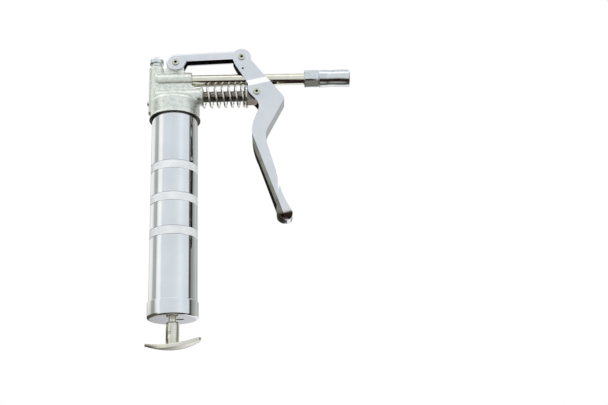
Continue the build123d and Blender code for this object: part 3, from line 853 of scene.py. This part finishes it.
@dataclass
class Studio:
    """The pale floor, the soft surroundings and the camera.

    Attributes:
        lens: The camera's focal length, in millimetres.
        eye: Where the camera stands.
        tilt: How far it looks up, in degrees.
        pan: How far it looks to the right of +Y, in degrees.
        roll: How far it leans, in degrees.
        floor: The floor's height.
    """

    lens: float = 50.0
    eye: tuple[float, float, float] = (75.88 * MM, -646.43 * MM, -233.3 * MM)
    tilt: float = 20.0
    pan: float = 2.62
    roll: float = -2.53
    floor: float = -0.42

    def add_camera(self) -> None:
        """Stand the camera at the lever's side, a little below the gun."""
        tilt, pan, roll = (math.radians(a) for a in (self.tilt, self.pan, self.roll))
        ahead = Vector((math.sin(pan) * math.cos(tilt), math.cos(pan) * math.cos(tilt), math.sin(tilt)))
        right = Vector((math.cos(pan), -math.sin(pan), 0.0))
        up = right.cross(ahead)
        right, up = (math.cos(roll) * right + math.sin(roll) * up,
                     math.cos(roll) * up - math.sin(roll) * right)
        turn = Matrix((right, up, -ahead)).transposed().to_4x4()
        camera = bpy.data.cameras.new("camera")
        camera.lens = self.lens
        camera.sensor_width = 36.0
        camera.clip_start = 0.01
        holder = bpy.data.objects.new("camera", camera)
        holder.matrix_world = Matrix.Translation(self.eye) @ turn
        bpy.context.scene.collection.objects.link(holder)
        bpy.context.scene.camera = holder

    def add_floor(self) -> None:
        """Lay the pale floor well below the gun."""
        clear_selection()
        bpy.ops.mesh.primitive_plane_add(size=12.0, location=(0.0, 0.0, self.floor))
        floor = bpy.context.object
        floor.name = "floor"
        made = bpy.data.materials.new("floor_paper")
        made.use_nodes = True
        paper = made.node_tree.nodes["Principled BSDF"]
        paper.inputs["Base Color"].default_value = (0.92, 0.92, 0.92, 1.0)
        paper.inputs["Roughness"].default_value = 0.9
        floor.data.materials.append(made)
        floor.visible_glossy = False

    def add_surroundings(self) -> None:
        """Paint a bright studio with a few grey and dark panels for the chrome to mirror."""
        world = bpy.data.worlds.new("studio")
        world.use_nodes = True
        bpy.context.scene.world = world
        nodes, links = world.node_tree.nodes, world.node_tree.links
        sky = nodes["Background"]
        out = nodes["World Output"]
        place = nodes.new("ShaderNodeTexCoord")
        parts = nodes.new("ShaderNodeSeparateXYZ")
        links.new(place.outputs["Generated"], parts.inputs["Vector"])

        back = nodes.new("ShaderNodeMath")
        back.operation = "MULTIPLY"
        back.inputs[1].default_value = -1.0
        links.new(parts.outputs["Y"], back.inputs[0])
        bearing = nodes.new("ShaderNodeMath")
        bearing.operation = "ARCTAN2"
        links.new(parts.outputs["X"], bearing.inputs[0])
        links.new(back.outputs["Value"], bearing.inputs[1])
        around = nodes.new("ShaderNodeMapRange")
        around.inputs["From Min"].default_value = -math.pi
        around.inputs["From Max"].default_value = math.pi
        links.new(bearing.outputs["Value"], around.inputs["Value"])
        panels = self.ramp(nodes, (
            (-180, (0.34, 0.35, 0.35)), (-160, (0.40, 0.41, 0.40)), (-148, (0.88, 0.89, 0.88)),
            (-134, (0.94, 0.94, 0.93)), (-112, (0.86, 0.86, 0.84)), (-103, (0.44, 0.48, 0.45)),
            (-84, (0.38, 0.41, 0.40)), (-77, (0.84, 0.86, 0.87)), (-70, (1.0, 1.0, 1.0)),
            (-58, (1.0, 1.0, 1.0)), (-51, (0.74, 0.78, 0.82)), (0, (0.71, 0.75, 0.78)),
            (18, (0.74, 0.78, 0.81)), (38, (0.84, 0.88, 0.92)), (60, (0.74, 0.79, 0.83)),
            (82, (0.72, 0.76, 0.79)),
            (87, (0.06, 0.065, 0.07)), (93, (0.06, 0.065, 0.07)), (100, (0.26, 0.27, 0.26)),
            (120, (0.42, 0.42, 0.40)), (142, (0.60, 0.61, 0.60)), (160, (0.42, 0.43, 0.43)),
            (180, (0.34, 0.35, 0.36)),
        ), -180, 180)
        links.new(around.outputs["Result"], panels.inputs["Fac"])

        lift = nodes.new("ShaderNodeMath")
        lift.operation = "ARCSINE"
        links.new(parts.outputs["Z"], lift.inputs[0])
        upward = nodes.new("ShaderNodeMapRange")
        upward.inputs["From Min"].default_value = -math.pi / 2
        upward.inputs["From Max"].default_value = math.pi / 2
        links.new(lift.outputs["Value"], upward.inputs["Value"])
        layers = self.ramp(nodes, (
            (-90, (0.62, 0.60, 0.55)), (-78, (0.50, 0.46, 0.40)), (-70, (0.035, 0.018, 0.014)),
            (-36, (0.030, 0.014, 0.012)), (-27, (0.80, 0.77, 0.68)), (-10, (0.96, 0.96, 0.93)),
            (58, (0.98, 0.98, 0.98)), (66, (0.48, 0.50, 0.52)),
            (90, (0.50, 0.52, 0.54)),
        ), -90, 90)
        links.new(upward.outputs["Result"], layers.inputs["Fac"])
        overhead = self.ramp(nodes, ((-90, (0, 0, 0)), (36, (0, 0, 0)), (46, (1, 1, 1)),
                                     (90, (1, 1, 1))), -90, 90)
        links.new(upward.outputs["Result"], overhead.inputs["Fac"])
        roof = nodes.new("ShaderNodeMix")
        roof.data_type = "RGBA"
        links.new(overhead.outputs["Color"], roof.inputs["Factor"])
        links.new(panels.outputs["Color"], roof.inputs["A"])
        roof.inputs["B"].default_value = (1.35, 1.35, 1.36, 1.0)
        both = nodes.new("ShaderNodeMix")
        both.data_type = "RGBA"
        both.blend_type = "MULTIPLY"
        both.inputs["Factor"].default_value = 1.0
        links.new(roof.outputs["Result"], both.inputs["A"])
        links.new(layers.outputs["Color"], both.inputs["B"])
        window = self.ramp(nodes, ((-180, (0, 0, 0)), (-165, (1, 1, 1)), (-72, (1, 1, 1)),
                                   (-58, (0, 0, 0)), (180, (0, 0, 0))), -180, 180)
        links.new(around.outputs["Result"], window.inputs["Fac"])
        sill = self.ramp(nodes, ((-90, (0, 0, 0)), (-40, (1, 1, 1)), (9, (1, 1, 1)), (14, (0, 0, 0)),
                                 (90, (0, 0, 0))), -90, 90)
        links.new(upward.outputs["Result"], sill.inputs["Fac"])
        bench = nodes.new("ShaderNodeMath")
        bench.operation = "MULTIPLY"
        links.new(window.outputs["Color"], bench.inputs[0])
        links.new(sill.outputs["Color"], bench.inputs[1])
        low_left = nodes.new("ShaderNodeMix")
        low_left.data_type = "RGBA"
        low_left.inputs["B"].default_value = (0.085, 0.078, 0.060, 1.0)
        links.new(bench.outputs["Value"], low_left.inputs["Factor"])
        behind = self.ramp(nodes, ((-180, (1, 1, 1)), (-150, (1, 1, 1)), (-140, (0, 0, 0)),
                                   (140, (0, 0, 0)), (150, (1, 1, 1)), (180, (1, 1, 1))), -180, 180)
        links.new(around.outputs["Result"], behind.inputs["Fac"])
        below = self.ramp(nodes, ((-90, (0, 0, 0)), (-60, (0, 0, 0)), (-48, (1, 1, 1)), (-6, (1, 1, 1)),
                                  (4, (0, 0, 0)), (90, (0, 0, 0))), -90, 90)
        links.new(upward.outputs["Result"], below.inputs["Fac"])
        back_low = nodes.new("ShaderNodeMath")
        back_low.operation = "MULTIPLY"
        links.new(behind.outputs["Color"], back_low.inputs[0])
        links.new(below.outputs["Color"], back_low.inputs[1])
        screen = nodes.new("ShaderNodeMix")
        screen.data_type = "RGBA"
        screen.inputs["B"].default_value = (0.90, 0.90, 0.92, 1.0)
        links.new(back_low.outputs["Value"], screen.inputs["Factor"])
        links.new(both.outputs["Result"], screen.inputs["A"])
        links.new(screen.outputs["Result"], low_left.inputs["A"])
        links.new(low_left.outputs["Result"], sky.inputs["Color"])

        plain = nodes.new("ShaderNodeBackground")
        plain.inputs["Color"].default_value = (1.0, 1.0, 1.0, 1.0)
        seen = nodes.new("ShaderNodeLightPath")
        choice = nodes.new("ShaderNodeMixShader")
        links.new(seen.outputs["Is Camera Ray"], choice.inputs["Fac"])
        links.new(sky.outputs["Background"], choice.inputs[1])
        links.new(plain.outputs["Background"], choice.inputs[2])
        links.new(choice.outputs["Shader"], out.inputs["Surface"])

    def ramp(self, nodes: bpy.types.Nodes, stops: tuple[tuple[float, Colour], ...],
             low: float, high: float) -> bpy.types.ShaderNode:
        """Build a colour ramp over a range of degrees.

        Args:
            nodes: The tree's nodes.
            stops: Each stop's angle and colour, in order.
            low: The angle at the ramp's start.
            high: The angle at the ramp's end.

        Returns:
            The ramp's node.
        """
        made = nodes.new("ShaderNodeValToRGB")
        bar = made.color_ramp
        for i, (angle, colour) in enumerate(stops):
            at = (angle - low) / (high - low)
            stop = bar.elements[i] if i < 2 else bar.elements.new(at)
            stop.position = at
            stop.color = (*colour, 1.0)
        return made

    def add_lights(self) -> None:
        """Hang two soft lamps, above and in front."""
        for name, spot, size, power in (
            ("lamp_over", (-0.25, -0.35, 0.75), 0.6, 2.4),
            ("lamp_front", (0.55, -0.75, 0.25), 0.5, 1.1),
        ):
            lamp = bpy.data.lights.new(name, "AREA")
            lamp.size = size
            lamp.energy = power
            holder = bpy.data.objects.new(name, lamp)
            holder.location = spot
            holder.visible_glossy = False
            toward = Vector((0.04, 0.0, 0.05)) - Vector(spot)
            holder.rotation_euler = toward.to_track_quat("-Z", "Y").to_euler()
            bpy.context.scene.collection.objects.link(holder)

    def build(self) -> None:
        """Set the studio up."""
        bpy.context.scene.view_settings.view_transform = "Standard"
        self.add_floor()
        self.add_surroundings()
        self.add_lights()
        self.add_camera()


# ------------------------------------------------------------------ assembly


def springs() -> list[CoilSpring]:
    """The gun's four springs.

    Returns:
        The springs, not yet wound.
    """
    return [
        CoilSpring("plunger_return_coil", "return_spring", Body.GUN, "plunger_stroke", Run.ALONG_X,
                   wire=0.75 * MM, turns=7.3, closed=0.6, travel=15.5 * MM, lean=0.12),
        CoilSpring("follower_coil", "follower_spring", Body.GUN, "rod_pull", Run.ALONG_Z,
                   wire=0.8 * MM, turns=13.0, closed=1.2, travel=100.0 * MM),
        CoilSpring("check_valve_coil", "check_spring", Body.GUN, "ball_lift", Run.ALONG_Z,
                   wire=0.3 * MM, turns=6.5, closed=1.0, travel=1.5 * MM, anchor_high=True),
        CoilSpring("coupler_feed_coil", "coupler_spring", Body.GUN, "seal_press", Run.ALONG_X,
                   wire=0.45 * MM, turns=5.0, closed=1.0, travel=1.5 * MM),
    ]


def main() -> None:
    """Build the gun, sub-assembly by sub-assembly, and the studio round it."""
    logging.basicConfig(level=logging.INFO)
    made: list[bpy.types.Object] = []
    for assembly in (Barrel(), Head(), Linkage(), Outlet(), FollowerRod()):
        pieces = assembly.build()
        made += pieces
        LOG.info("%s: %s", type(assembly).__name__, [piece.name for piece in pieces] or "dressed")
    for spring in springs():
        made.append(spring.build())
        LOG.info("spring %s", spring.name)
    Studio().build()
    LOG.info("%d new pieces", len(made))


if __name__ == "__main__":
    main()
